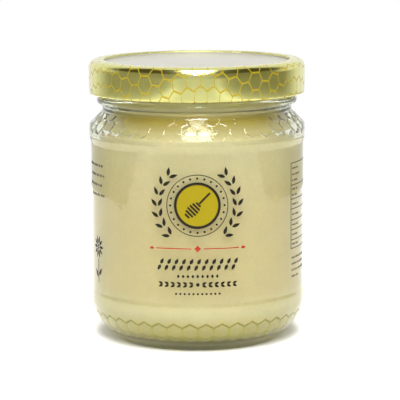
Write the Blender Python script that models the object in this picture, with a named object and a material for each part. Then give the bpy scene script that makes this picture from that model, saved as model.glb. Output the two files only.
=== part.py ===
"""Glass honey jar with a twist-off metal lid, filled with set honey.

Units are metres, +Z is up, and the origin is the centre of the bearing ring that the jar stands on.
Every piece is turned round the Z axis. Outlines are lists of (radius, height) pairs.
"""
import math

import bmesh
import bpy

MM = 0.001

# The jar stands on a flat ring, and its body narrows to it over a bowed heel.
BEARING_INNER_RADIUS = 22.8 * MM
BEARING_OUTER_RADIUS = 24.6 * MM
PUSH_UP_RADIUS = 19.5 * MM
PUSH_UP_HEIGHT = 1.9 * MM
FOOT_CORNER_RADIUS = 25.7 * MM
FOOT_CORNER_HEIGHT = 0.6 * MM
HEEL_HEIGHT = 11.4 * MM
HEEL_BOW = 1.25 * MM

# The body carries a slightly sunk panel between a lower and an upper band.
LOWER_BAND_RADIUS = 32.9 * MM
LOWER_BAND_TOP = 14.6 * MM
PANEL_RADIUS = 32.65 * MM
PANEL_BOTTOM = 16.2 * MM
PANEL_TOP = 60.9 * MM
UPPER_BAND_RADIUS = 33.1 * MM
UPPER_BAND_BOTTOM = 62.6 * MM

# The shoulder is a cone from the upper band to the neck.
SHOULDER_CORNER_HEIGHT = 66.3 * MM
NECK_RADIUS = 29.0 * MM
SHOULDER_TOP = 70.6 * MM

# The neck has a round bead below the lid and a plain finish inside it.
BEAD_RADIUS = 30.7 * MM
BEAD_HEIGHT = 73.8 * MM
BEAD_HALF_HEIGHT = 1.5 * MM
FINISH_RADIUS = 29.7 * MM
RIM_HEIGHT = 84.2 * MM
RIM_ROUNDING = 0.8 * MM
MOUTH_RADIUS = 26.3 * MM

# Inside of the glass.
INNER_RADIUS = 30.0 * MM
INNER_SHOULDER_LOW = (30.2 * MM, 64.2 * MM)
INNER_SHOULDER_HIGH = (27.1 * MM, 69.1 * MM)
MOUTH_BOTTOM = 71.2 * MM
INNER_HEEL_TOP = 13.0 * MM
INNER_HEEL_DEPTH = 8.4 * MM
INNER_HEEL_WIDTH = 9.0 * MM
FLOOR_HEIGHT = 4.6 * MM
FLOOR_CROWN = 0.6 * MM

# Honeycomb relief on the heel and on the shoulder.
CELLS_AROUND = 42
GROOVE_WIDTH = 0.64 * MM
RELIEF = 0.28 * MM
HEEL_CELLS_START = 1.95 * MM
SHOULDER_CELLS_BELOW_CORNER = 1.6 * MM

# Set honey: it lines the glass up to the shoulder, and stands a little clear of it above, into the neck.
HONEY_CLEARANCE = 0.3 * MM
HONEY_UPPER_GAP = 0.5 * MM
HONEY_CONTACT_TOP = 63.8 * MM
HONEY_TOP = 75.4 * MM
HONEY_CROWN = 0.4 * MM
HONEY_EDGE_RADIUS = 2.0 * MM

# Twist-off lid of drawn sheet metal, with the sealing compound in its channel.
LID_RADIUS = 33.1 * MM
LID_TOP = 86.0 * MM
LID_HEM = 75.8 * MM
LID_CORNER_RADIUS = 2.8 * MM
LID_SHEET = 0.5 * MM
LID_CREST_RADIUS = 29.9 * MM
LID_PANEL_RADIUS = 28.0 * MM
LID_PANEL_DROP = 0.95 * MM
LID_BUTTON_RADIUS = 13.0 * MM
LID_BUTTON_RISE = 0.45 * MM
HEM_RADIUS = 0.8 * MM
SEAL_INNER_RADIUS = 25.4 * MM
SEAL_CLEARANCE = 0.3 * MM

SEGMENTS = 2 * CELLS_AROUND
MERGE_DISTANCE = 0.00001
SHARP_ANGLE = math.radians(35.0)


def arc(centre, radii, start, end, steps):
    """Points of an elliptical arc between two angles in degrees, ends included."""
    points = []
    for step in range(steps + 1):
        angle = math.radians(start + (end - start) * step / steps)
        points.append((centre[0] + radii[0] * math.cos(angle), centre[1] + radii[1] * math.sin(angle)))
    return points


def bowed(start, end, bow, steps):
    """Points of a shallow curve that bows outward between two points, ends included."""
    run = (end[0] - start[0], end[1] - start[1])
    length = math.hypot(*run)
    outward = (run[1] / length, -run[0] / length)
    points = []
    for step in range(steps + 1):
        share = step / steps
        swell = 4.0 * bow * share * (1.0 - share)
        points.append((start[0] + run[0] * share + outward[0] * swell,
                       start[1] + run[1] * share + outward[1] * swell))
    return points


def walk(path, distance):
    """The point at a distance along a path of points."""
    for (r0, z0), (r1, z1) in zip(path, path[1:]):
        length = math.hypot(r1 - r0, z1 - z0)
        if distance <= length:
            share = distance / length
            return (r0 + (r1 - r0) * share, z0 + (z1 - z0) * share)
        distance -= length
    return path[-1]


def path_length(path):
    """Length of a path of points."""
    return sum(math.hypot(b[0] - a[0], b[1] - a[1]) for a, b in zip(path, path[1:]))


def pulled_in(point, depth):
    """A point moved towards the axis, for the bottom of a groove."""
    return (point[0] - depth, point[1])


def cell_side(radius):
    """Side of a regular hexagon cell whose flats are one pitch apart at a radius."""
    return 2.0 * math.pi * radius / CELLS_AROUND / math.sqrt(3.0)


def surface_material(name, colour, roughness, metallic=0.0, transmission=0.0, ior=1.5):
    """A Principled material."""
    material = bpy.data.materials.new(name)
    material.use_nodes = True
    shader = material.node_tree.nodes["Principled BSDF"]
    shader.inputs["Base Color"].default_value = (*colour, 1.0)
    shader.inputs["Roughness"].default_value = roughness
    shader.inputs["Metallic"].default_value = metallic
    shader.inputs["Transmission Weight"].default_value = transmission
    shader.inputs["IOR"].default_value = ior
    return material


def add_object(name, mesh, material):
    """Link a mesh as a named object with smooth faces and its material."""
    mesh.materials.append(material)
    mesh.shade_smooth()
    mesh.set_sharp_from_angle(angle=SHARP_ANGLE)
    piece = bpy.data.objects.new(name, mesh)
    bpy.context.scene.collection.objects.link(piece)
    return piece


def turned(name, outline, material, steps):
    """Turn an outline that starts and ends on the axis, given from the top down its outer side."""
    mesh = bpy.data.meshes.new(name)
    corners = [(radius, 0.0, height) for radius, height in outline]
    mesh.from_pydata(corners, [(i, i + 1) for i in range(len(corners) - 1)], [])
    piece = add_object(name, mesh, material)
    screw = piece.modifiers.new("turn", "SCREW")
    screw.axis = "Z"
    screw.angle = 2.0 * math.pi
    screw.steps = steps
    screw.render_steps = steps
    screw.use_merge_vertices = True
    screw.merge_threshold = MERGE_DISTANCE
    screw.use_smooth_shade = True
    return piece


def add_ring(bm, even, odd=None):
    """A ring of vertices; even and odd ones may lie at different (radius, height) points."""
    ring = []
    for index in range(SEGMENTS):
        radius, height = even if odd is None or index % 2 == 0 else odd
        angle = 2.0 * math.pi * index / SEGMENTS
        ring.append(bm.verts.new((radius * math.sin(angle), -radius * math.cos(angle), height)))
    return ring


def bridge(bm, lower, upper):
    """Quads between two rings, facing outward when the upper ring is further along the outline."""
    for index in range(SEGMENTS):
        after = (index + 1) % SEGMENTS
        bm.faces.new((lower[index], lower[after], upper[after], upper[index]))


def raise_pad(bm, faces):
    """Lift one cell out of the grooves round it."""
    bmesh.ops.inset_region(bm, faces=faces, thickness=GROOVE_WIDTH / 2.0, depth=RELIEF, use_even_offset=True)


def add_cells(bm, lower, upper, first, folded=False):
    """Raised hexagon pads between two zigzag rings, starting at an even or an odd vertex."""
    pads = []
    for index in range(first, SEGMENTS + first, 2):
        left, middle, right = index % SEGMENTS, (index + 1) % SEGMENTS, (index + 2) % SEGMENTS
        roof = (upper[right], upper[middle], upper[left])
        if folded:
            point = bm.faces.new((lower[left], lower[middle], lower[right]))
            slope = bm.faces.new((lower[left], lower[right]) + roof)
            pads.append([point, slope])
        else:
            pads.append([bm.faces.new((lower[left], lower[middle], lower[right]) + roof)])
    return pads


def heel_path():
    """Outline of the heel, from the lower band down to the foot."""
    return bowed((FOOT_CORNER_RADIUS, FOOT_CORNER_HEIGHT), (LOWER_BAND_RADIUS, HEEL_HEIGHT), HEEL_BOW, 24)[::-1]


def shoulder_path():
    """Outline of the upper band and the shoulder cone, from the bottom up."""
    return [(UPPER_BAND_RADIUS, UPPER_BAND_BOTTOM), (UPPER_BAND_RADIUS, SHOULDER_CORNER_HEIGHT),
            (NECK_RADIUS, SHOULDER_TOP)]


def make_glass_jar():
    """The hollow glass jar, open at its mouth, with honeycomb relief on heel and shoulder."""
    bm = bmesh.new()
    heel = heel_path()
    heel_side = cell_side(walk(heel, HEEL_CELLS_START)[0])
    heel_cells = [walk(heel, HEEL_CELLS_START + heel_side * share) for share in (0.0, 0.5, 1.5, 2.0)]
    heel_cells = [pulled_in(point, RELIEF) for point in heel_cells]
    shoulder = shoulder_path()
    shoulder_side = cell_side(UPPER_BAND_RADIUS)
    shoulder_start = SHOULDER_CORNER_HEIGHT - UPPER_BAND_BOTTOM - SHOULDER_CELLS_BELOW_CORNER
    shoulder_cells = [walk(shoulder, shoulder_start + shoulder_side * share) for share in (0.0, 0.5, 1.5, 2.0)]
    shoulder_cells = [pulled_in(point, RELIEF) for point in shoulder_cells]

    foot = [(PUSH_UP_RADIUS * 0.6, PUSH_UP_HEIGHT), (PUSH_UP_RADIUS, PUSH_UP_HEIGHT * 0.8),
            (BEARING_INNER_RADIUS - 0.7 * MM, 0.3 * MM), (BEARING_INNER_RADIUS, 0.0),
            (BEARING_OUTER_RADIUS, 0.0), heel[-1], walk(heel[::-1], path_length(heel) * 0.16)]
    rings = [add_ring(bm, point) for point in foot]
    base_face = bm.faces.new(rings[0][::-1])
    base_face.smooth = True
    rings.append(add_ring(bm, heel_cells[2], heel_cells[3]))
    for lower, upper in zip(rings, rings[1:]):
        bridge(bm, lower, upper)

    heel_roof = add_ring(bm, heel_cells[1], heel_cells[0])
    pads = add_cells(bm, rings[-1], heel_roof, 0)

    body = [heel[0], (LOWER_BAND_RADIUS, LOWER_BAND_TOP), (PANEL_RADIUS, PANEL_BOTTOM),
            (PANEL_RADIUS, PANEL_TOP), (UPPER_BAND_RADIUS, UPPER_BAND_BOTTOM)]
    rings = [heel_roof] + [add_ring(bm, point) for point in body]
    rings.append(add_ring(bm, shoulder_cells[1], shoulder_cells[0]))
    for lower, upper in zip(rings, rings[1:]):
        bridge(bm, lower, upper)

    shoulder_roof = add_ring(bm, shoulder_cells[2], shoulder_cells[3])
    pads += add_cells(bm, rings[-1], shoulder_roof, 0, folded=True)
    neck_ring = add_ring(bm, pulled_in(shoulder[-1], RELIEF))
    pads += add_cells(bm, shoulder_roof, neck_ring, 1)

    bead = arc((NECK_RADIUS, BEAD_HEIGHT), (BEAD_RADIUS - NECK_RADIUS, BEAD_HALF_HEIGHT), -80.0, 60.0, 5)
    rim = arc((FINISH_RADIUS - RIM_ROUNDING, RIM_HEIGHT - RIM_ROUNDING), (RIM_ROUNDING, RIM_ROUNDING), 0.0, 90.0, 2)
    rim += arc((MOUTH_RADIUS + RIM_ROUNDING, RIM_HEIGHT - RIM_ROUNDING), (RIM_ROUNDING, RIM_ROUNDING), 90.0, 180.0, 2)
    inner_heel_centre = (INNER_RADIUS - INNER_HEEL_WIDTH, INNER_HEEL_TOP)
    inside = [(MOUTH_RADIUS, MOUTH_BOTTOM), INNER_SHOULDER_HIGH, INNER_SHOULDER_LOW]
    inside += arc(inner_heel_centre, (INNER_HEEL_WIDTH, INNER_HEEL_DEPTH), 0.0, -90.0, 5)
    inside += [(inner_heel_centre[0] * 0.5, FLOOR_HEIGHT + FLOOR_CROWN)]
    outline = bead + rim + inside
    rings = [neck_ring] + [add_ring(bm, point) for point in outline]
    for lower, upper in zip(rings, rings[1:]):
        bridge(bm, lower, upper)
    bm.faces.new(rings[-1])

    for pad in pads:
        raise_pad(bm, pad)
    mesh = bpy.data.meshes.new("glass_jar")
    bm.to_mesh(mesh)
    bm.free()
    glass = surface_material("clear_glass", (0.93, 0.96, 0.91), 0.03, transmission=0.9, ior=1.52)
    return add_object("glass_jar", mesh, glass)


def make_honey():
    """Pale set honey that fills the jar into its neck."""
    gap = HONEY_CLEARANCE
    neck_radius = MOUTH_RADIUS - HONEY_UPPER_GAP
    outline = [(0.0, HONEY_TOP + HONEY_CROWN), (neck_radius * 0.5, HONEY_TOP + HONEY_CROWN * 0.75)]
    outline += arc((neck_radius - HONEY_EDGE_RADIUS, HONEY_TOP - HONEY_EDGE_RADIUS),
                   (HONEY_EDGE_RADIUS, HONEY_EDGE_RADIUS), 90.0, 0.0, 3)
    outline += [(neck_radius, MOUTH_BOTTOM), (INNER_SHOULDER_HIGH[0] - HONEY_UPPER_GAP, INNER_SHOULDER_HIGH[1]),
                (INNER_SHOULDER_LOW[0] - HONEY_UPPER_GAP, INNER_SHOULDER_LOW[1] + 0.3 * MM),
                (INNER_RADIUS - gap, HONEY_CONTACT_TOP)]
    outline += arc((INNER_RADIUS - INNER_HEEL_WIDTH, INNER_HEEL_TOP),
                   (INNER_HEEL_WIDTH - gap, INNER_HEEL_DEPTH - gap), 0.0, -90.0, 5)
    floor_centre_radius = (INNER_RADIUS - INNER_HEEL_WIDTH) * 0.5
    floor = FLOOR_HEIGHT + FLOOR_CROWN + gap
    outline += [(floor_centre_radius, floor), (0.0, floor)]
    cream = surface_material("set_honey", (0.76, 0.69, 0.42), 0.45)
    return turned("honey", outline, cream, CELLS_AROUND)


def make_lid():
    """The drawn metal lid: button, sunk panel, raised ring, skirt and rolled hem."""
    panel = LID_TOP - LID_PANEL_DROP
    corner = (LID_RADIUS - LID_CORNER_RADIUS, LID_TOP - LID_CORNER_RADIUS)
    hem_centre = (LID_RADIUS - HEM_RADIUS, LID_HEM + HEM_RADIUS)
    outline = [(0.0, panel + LID_BUTTON_RISE), (LID_BUTTON_RADIUS - 1.5 * MM, panel + LID_BUTTON_RISE * 0.8),
               (LID_BUTTON_RADIUS, panel), (LID_PANEL_RADIUS, panel), (LID_CREST_RADIUS - 1.0 * MM, LID_TOP - 0.2 * MM)]
    outline += arc(corner, (LID_CORNER_RADIUS, LID_CORNER_RADIUS), 90.0, 0.0, 4)
    outline += arc(hem_centre, (HEM_RADIUS, HEM_RADIUS), 0.0, -180.0, 4)
    inner_skirt = LID_RADIUS - LID_SHEET
    seal = RIM_HEIGHT + SEAL_CLEARANCE
    outline += [(inner_skirt - HEM_RADIUS, LID_HEM + 1.7 * HEM_RADIUS), (inner_skirt, LID_HEM + 2.4 * HEM_RADIUS),
                (inner_skirt, corner[1]), (inner_skirt - 1.0 * MM, seal), (SEAL_INNER_RADIUS, seal),
                (LID_BUTTON_RADIUS, panel - LID_SHEET),
                (LID_BUTTON_RADIUS - 1.5 * MM, panel + LID_BUTTON_RISE * 0.8 - LID_SHEET),
                (0.0, panel + LID_BUTTON_RISE - LID_SHEET)]
    metal = surface_material("lacquered_tinplate", (0.62, 0.59, 0.30), 0.25, metallic=0.9)
    return turned("lid", outline, metal, SEGMENTS)


def clear_scene():
    """Remove whatever the scene holds."""
    for item in list(bpy.data.objects):
        bpy.data.objects.remove(item, do_unlink=True)


def main():
    clear_scene()
    make_glass_jar()
    make_honey()
    make_lid()


main()
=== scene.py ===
"""Glass jar of set honey with a twist-off lid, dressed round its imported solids."""
import math

import bmesh
import bpy
import numpy as np
from mathutils import Matrix, Vector


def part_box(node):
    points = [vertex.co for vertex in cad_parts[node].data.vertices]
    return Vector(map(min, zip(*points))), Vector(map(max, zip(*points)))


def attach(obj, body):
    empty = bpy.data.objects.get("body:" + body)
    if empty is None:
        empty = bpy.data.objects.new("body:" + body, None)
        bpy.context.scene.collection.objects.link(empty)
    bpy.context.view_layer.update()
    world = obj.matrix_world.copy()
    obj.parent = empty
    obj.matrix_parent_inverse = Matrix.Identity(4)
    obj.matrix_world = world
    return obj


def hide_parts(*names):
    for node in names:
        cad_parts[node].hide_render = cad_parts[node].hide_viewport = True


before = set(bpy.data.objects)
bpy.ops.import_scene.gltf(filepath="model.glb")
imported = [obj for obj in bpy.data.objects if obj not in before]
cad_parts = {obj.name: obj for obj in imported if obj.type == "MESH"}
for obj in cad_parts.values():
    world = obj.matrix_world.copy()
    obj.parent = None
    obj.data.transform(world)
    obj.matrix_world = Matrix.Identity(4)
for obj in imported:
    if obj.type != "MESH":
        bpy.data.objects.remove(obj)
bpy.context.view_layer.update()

bl_info = {
    "name": "Honey Jar",
    "version": (1, 0, 0),
    "blender": (4, 5, 0),
    "location": "View3D > Sidebar > Honey Jar",
    "description": "Builds a glass honey jar with relief, print, set honey and a lacquered lid",
    "category": "Add Mesh",
}

MM = 0.001
BODY = "root"
FULL_TURN = 2.0 * math.pi
JAR_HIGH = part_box("glass_jar")[1]
LID_LOW, LID_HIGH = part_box("lid")

# Heights that the outline of the glass and its relief share.
HEEL_TOP = 11.4 * MM
SHOULDER_CORNER = 66.3 * MM
SHOULDER_TOP = 70.6 * MM
# Points (radius, height) of the inside of the glass, which the honey follows.
INNER_SHOULDER = (27.1 * MM, 69.1 * MM)
INNER_NECK = (26.3 * MM, 71.2 * MM)
# Strength of the painted shade in the thick base at a few heights in millimetres.
BASE_SHADE_HEIGHTS = (1.5, 2.0, 2.5, 2.9, 3.2)
BASE_SHADES = (0.6, 0.12, 0.04, 0.65, 1.0)
# Sizes that the outline of the lid and its material share.
LID_PANEL_RADIUS = 28.5 * MM
TAPERED_SKIRT = 4.8 * MM
LID_CURL = 0.8 * MM
# What one unit of the print's coordinates measures on the undrawn sheet of the lid.
SHEET_UNIT = 100.0 * MM
# Height in millimetres at the end of the honey's colour ramp.
HONEY_RAMP = 80.0
# Fine print in millimetres: from mark to mark, and the gap after a group of marks.
MARK_STEP = 0.46
WORD_GAP = 0.42


def length(name, description, default):
    """A size in metres for a property group."""
    return bpy.props.FloatProperty(name=name, description=description, default=default, min=0.0,
                                   precision=5, unit="LENGTH")


def rotation(name, description, degrees):
    """An angle for a property group."""
    return bpy.props.FloatProperty(name=name, description=description, default=math.radians(degrees),
                                   subtype="ANGLE")


def tint(name, description, default):
    """A colour for a property group."""
    return bpy.props.FloatVectorProperty(name=name, description=description, default=default, size=3,
                                         min=0.0, max=1.0, subtype="COLOR")


class GlassSettings(bpy.types.PropertyGroup):
    """Sizes and colour of the glass jar."""
    upper_band_radius: length("Upper band radius", "Radius of the band under the shoulder", JAR_HIGH.x)
    panel_radius: length("Panel radius", "Radius of the sunk print panel", 32.65 * MM)
    lower_band_radius: length("Lower band radius", "Radius of the band above the heel", 32.9 * MM)
    neck_radius: length("Neck radius", "Radius of the waist between shoulder and bead", 29.0 * MM)
    bead_radius: length("Bead radius", "Radius of the round bead under the lid", 30.7 * MM)
    rim_height: length("Rim height", "Height of the jar's rim", JAR_HIGH.z)
    wall_radius: length("Inner radius", "Radius of the inside of the body", 30.0 * MM)
    groove_depth: length("Groove depth", "Depth of the grooves between honeycomb pads", 0.10 * MM)
    groove_width: length("Groove width", "Width of the grooves between honeycomb pads", 0.8 * MM)
    pad_dome: length("Pad dome", "How far the middle of a honeycomb pad swells", 0.06 * MM)
    cells_around: bpy.props.IntProperty(name="Cells around", description="Honeycomb pads in one row",
                                        default=42, min=12, max=90)
    glass_tint: tint("Glass tint", "Colour that light takes on passing one surface", (0.98, 0.985, 0.965))
    # Painted shade: the colour that darkens the thick base.
    base_shade: tint("Base tint", "Colour that light takes on passing the thick base", (0.84, 0.84, 0.22))
    # Painted shade: the colour that darkens the heel's grooves.
    groove_shade: tint("Groove tint", "Colour that light takes on in the heel's grooves", (0.16, 0.13, 0.01))
    glass_body: tint("Glass body", "Colour that light takes on inside the glass", (0.76, 0.83, 0.15))


class HoneySettings(bpy.types.PropertyGroup):
    """Sizes and colours of the honey."""
    contact_top: length("Contact height", "Height up to which the honey wets the glass", 63.8 * MM)
    shoulder_gap: length("Shoulder gap", "Air between honey and glass at the shoulder", 0.5 * MM)
    honey_top: length("Honey height", "Height of the honey's top surface", 75.4 * MM)
    # Painted shade: darker honey over the thick base.
    foot: tint("Foot honey", "Colour of the honey over the thick base", (0.61, 0.54, 0.165))
    # Painted light: lighter honey near the bottom, lit from the floor.
    low: tint("Low honey", "Colour of the honey near the bottom", (0.73, 0.67, 0.435))
    pale: tint("Pale honey", "Colour of the honey in the body", (0.71, 0.615, 0.34))
    bloom: tint("Honey bloom", "Colour of the honey just below the shoulder", (0.735, 0.665, 0.415))
    # Painted shade: darker honey under the lid, where it leaves the glass.
    turn: tint("Turning honey", "Colour of the honey where it leaves the glass", (0.61, 0.52, 0.24))
    # Painted shade: honey behind the shoulder, in the lid's shadow.
    lid_shaded_honey: tint("Deep honey", "Colour of the honey behind the shoulder", (0.68, 0.53, 0.115))
    # Painted light: lighter honey in the neck, under the lid.
    neck: tint("Neck honey", "Colour of the honey in the neck", (1.0, 0.88, 0.44))


class LidSettings(bpy.types.PropertyGroup):
    """Sizes and colours of the lid."""
    lid_radius: length("Lid radius", "Outer radius of the skirt", LID_HIGH.x)
    lid_top: length("Lid top", "Height of the raised ring", LID_HIGH.z)
    lid_hem: length("Lid hem", "Height of the bottom of the rolled hem", LID_LOW.z)
    corner_radius: length("Corner radius", "Rounding between top and skirt", 2.8 * MM)
    panel_drop: length("Panel drop", "Depth of the sunk middle panel", 0.95 * MM)
    cell_width: length("Cell width", "Width of a printed honeycomb cell on the flat sheet", 4.6 * MM)
    line_width: length("Line width", "Width of the printed honeycomb lines", 0.3 * MM)
    lacquer: tint("Lacquer", "Colour of the lacquered metal", (0.79, 0.78, 0.30))
    # Painted shade: darker lacquer on the rolled edge, which faces the jar's shoulder.
    shaded_edge_lacquer: tint("Edge lacquer", "Colour of the lacquer on the rolled edge", (0.50, 0.46, 0.14))
    panel_white: tint("Panel white", "Colour of the enamel on the sunk panel", (0.39, 0.38, 0.33))
    line_ink: tint("Line ink", "Colour of the printed lines", (0.42, 0.31, 0.001))
    inside_enamel: tint("Inside enamel", "Colour of the lid's inside", (0.78, 0.77, 0.72))


class PrintSettings(bpy.types.PropertyGroup):
    """Colours of the print on the glass."""
    dark_ink: tint("Dark ink", "Colour of the dark print", (0.013, 0.009, 0.005))
    yellow_ink: tint("Yellow ink", "Colour of the medallion's field", (0.265, 0.208, 0.002))
    red_ink: tint("Red ink", "Colour of the thin rule", (0.32, 0.026, 0.008))
    ink_thickness: length("Ink thickness", "Thickness of one layer of fired ink", 0.02 * MM)


class StudioSettings(bpy.types.PropertyGroup):
    """Camera, floor and light."""
    focal_length: bpy.props.FloatProperty(name="Focal length", description="Lens in millimetres",
                                          default=190.0, unit="CAMERA")
    camera_distance: length("Camera distance", "Distance from the aim point", 654.0 * MM)
    camera_pitch: rotation("Camera pitch", "How far the camera looks down", 8.83)
    camera_roll: rotation("Camera roll", "How far the camera leans", 0.32)
    aim_side: length("Aim to the side", "How far the aim point lies right of the jar's axis", 0.79 * MM)
    aim_height: length("Aim height", "Height of the aim point", 42.05 * MM)
    floor_half_width: length("Floor half width", "Half width of the white table top", 0.32)
    floor_reach: length("Floor reach", "How far the table top runs towards the camera", 0.75)
    floor_colour: tint("Floor colour", "Colour of the floor", (0.93, 0.93, 0.925))
    # Painted shade: the floor's grey in front of the jar.
    floor_front_shade: tint("Far floor colour", "Colour of the floor in front of the jar", (0.39, 0.39, 0.375))


class Outline:
    """A (radius, height) path with a point and an outward normal at any distance along it."""
    SPACING = 0.002 * MM

    def __init__(self, points):
        apart = [points[0]]
        for point in points[1:]:
            if math.dist(point, apart[-1]) > self.SPACING:
                apart.append(point)
        self.points = np.array(apart, float)
        steps = np.hypot(*np.diff(self.points, axis=0).T)
        self.distance = np.concatenate([[0.0], np.cumsum(steps)])
        self.total = float(self.distance[-1])

    def at(self, along):
        return np.array([np.interp(along, self.distance, self.points[:, axis]) for axis in (0, 1)])

    def normal(self, along, reach=0.15 * MM):
        ahead = self.at(min(along + reach, self.total))
        behind = self.at(max(along - reach, 0.0))
        run = ahead - behind
        return np.array([run[1], -run[0]]) / np.hypot(*run)

    def nearest(self, radius, height):
        """Distance along the path of the vertex nearest to a point."""
        gaps = np.hypot(self.points[:, 0] - radius, self.points[:, 1] - height)
        return float(self.distance[int(np.argmin(gaps))])


def rounded(corners, steps=6):
    """Path through (radius, height, fillet) corners, with each fillet as an arc."""
    points = [corners[0][:2]]
    for before, corner, after in zip(corners, corners[1:], corners[2:]):
        here = Vector(corner[:2])
        back = (Vector(before[:2]) - here)
        front = (Vector(after[:2]) - here)
        turn = math.pi - back.angle(front)
        if corner[2] <= 0.0 or turn < 1e-4:
            points.append(tuple(here))
            continue
        reach = min(corner[2] * math.tan(turn / 2.0), 0.49 * back.length, 0.49 * front.length)
        radius = reach / math.tan(turn / 2.0)
        start = here + back.normalized() * reach
        end = here + front.normalized() * reach
        middle = (back.normalized() + front.normalized()).normalized()
        centre = here + middle * (radius / math.cos(turn / 2.0))
        for step in range(steps + 1):
            share = step / steps
            spoke = (start - centre).normalized().slerp((end - centre).normalized(), share)
            points.append(tuple(centre + spoke * radius))
    points.append(corners[-1][:2])
    return points


def arc(centre, radii, start, end, steps):
    """Points of an elliptical arc between two angles in degrees, ends included."""
    angles = [math.radians(start + (end - start) * step / steps) for step in range(steps + 1)]
    return [(centre[0] + radii[0] * math.cos(a), centre[1] + radii[1] * math.sin(a)) for a in angles]


def bowed(start, end, bow, steps):
    """Points of a shallow outward bow between two points, from the lower one up, ends included."""
    start, end = np.array(start), np.array(end)
    run = end - start
    outward = np.array([run[1], -run[0]]) / np.hypot(*run)
    shares = [step / steps for step in range(steps + 1)]
    return [tuple(start + run * share + outward * 4.0 * bow * share * (1.0 - share)) for share in shares]


def smooth_step(low, high, value):
    """Smooth rise from 0 at low to 1 at high."""
    share = min(max((value - low) / (high - low), 0.0), 1.0)
    return share * share * (3.0 - 2.0 * share)


def azimuth_key(azimuth):
    """A whole number that is the same for equal azimuths, also where the turn closes."""
    return round(azimuth * 1e6) % round(FULL_TURN * 1e6)


def sharp(points):
    """Corners without a fillet at (radius, height) points."""
    return [(radius, height, 0.0) for radius, height in points]


def mesh_of(bm, name):
    """A mesh from an edit mesh, with its faces pointing out."""
    bmesh.ops.recalc_face_normals(bm, faces=bm.faces)
    mesh = bpy.data.meshes.new(name)
    bm.to_mesh(mesh)
    bm.free()
    return mesh


class TurnedMesh:
    """A mesh on a turned outline, whose rings may differ in their number of vertices."""
    SAME_AZIMUTH = 1e-5

    def __init__(self, outline):
        self.outline = outline
        self.bm = bmesh.new()
        # Painted shade that the glass material darkens by: in the heel's grooves and on the thick base.
        self.stain = self.bm.verts.layers.float.new("stain")
        self.known = {}

    def vertex(self, azimuth, along, lift=0.0):
        """The vertex at an azimuth and a distance along the outline, lifted off the surface."""
        azimuth = azimuth % FULL_TURN
        key = (azimuth_key(azimuth), round(along * 1e8), round(lift * 1e8))
        if key not in self.known:
            radius, height = self.outline.at(along) + self.outline.normal(along) * lift
            place = (radius * math.sin(azimuth), -radius * math.cos(azimuth), height)
            self.known[key] = self.bm.verts.new(place)
        return self.known[key]

    def ring(self, along, columns, lift=0.0):
        """A level ring: a list of (azimuth, vertex)."""
        turns = [FULL_TURN * column / columns for column in range(columns)]
        return [(turn, self.vertex(turn, along, lift)) for turn in turns]

    def stitch(self, lower, upper):
        """Faces between two rings, quads where their azimuths agree and triangles elsewhere."""
        ahead = []
        for ring in (lower, upper):
            ring = sorted(ring, key=lambda item: item[0])
            ahead.append(ring + [(ring[0][0] + FULL_TURN, ring[0][1]), (math.inf, None)])
        (_, a), (_, b) = ahead[0].pop(0), ahead[1].pop(0)
        while len(ahead[0]) > 1 or len(ahead[1]) > 1:
            (next_low, c), (next_high, d) = ahead[0][0], ahead[1][0]
            if abs(next_low - next_high) < self.SAME_AZIMUTH:
                self.bm.faces.new((a, c, d, b))
            else:
                self.bm.faces.new((a, c, b) if next_low < next_high else (a, d, b))
            if next_low < next_high + self.SAME_AZIMUTH:
                a = ahead[0].pop(0)[1]
            if next_high < next_low + self.SAME_AZIMUTH:
                b = ahead[1].pop(0)[1]

    def rings(self, rings):
        for lower, upper in zip(rings, rings[1:]):
            self.stitch(lower, upper)

    def cap(self, ring, along):
        """Close a ring onto the axis."""
        centre = self.bm.verts.new((0.0, 0.0, self.outline.at(along)[1]))
        for (_, a), (_, b) in zip(ring, ring[1:] + ring[:1]):
            self.bm.faces.new((a, b, centre))

    def close(self, rings):
        """Faces between rings, with both ends closed onto the axis."""
        self.cap(rings[0], 0.0)
        self.rings(rings)
        self.cap(rings[-1], self.outline.total)

    def finish(self, name, edge_angle=40.0):
        """The finished object, smooth but for edges above an angle in degrees."""
        mesh = mesh_of(self.bm, name)
        mesh.shade_smooth()
        mesh.set_sharp_from_angle(angle=math.radians(edge_angle))
        return link_piece(name, mesh)


def link_piece(name, mesh):
    """A new object of the scene for a mesh."""
    piece = bpy.data.objects.new(name, mesh)
    bpy.context.scene.collection.objects.link(piece)
    return piece


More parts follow.
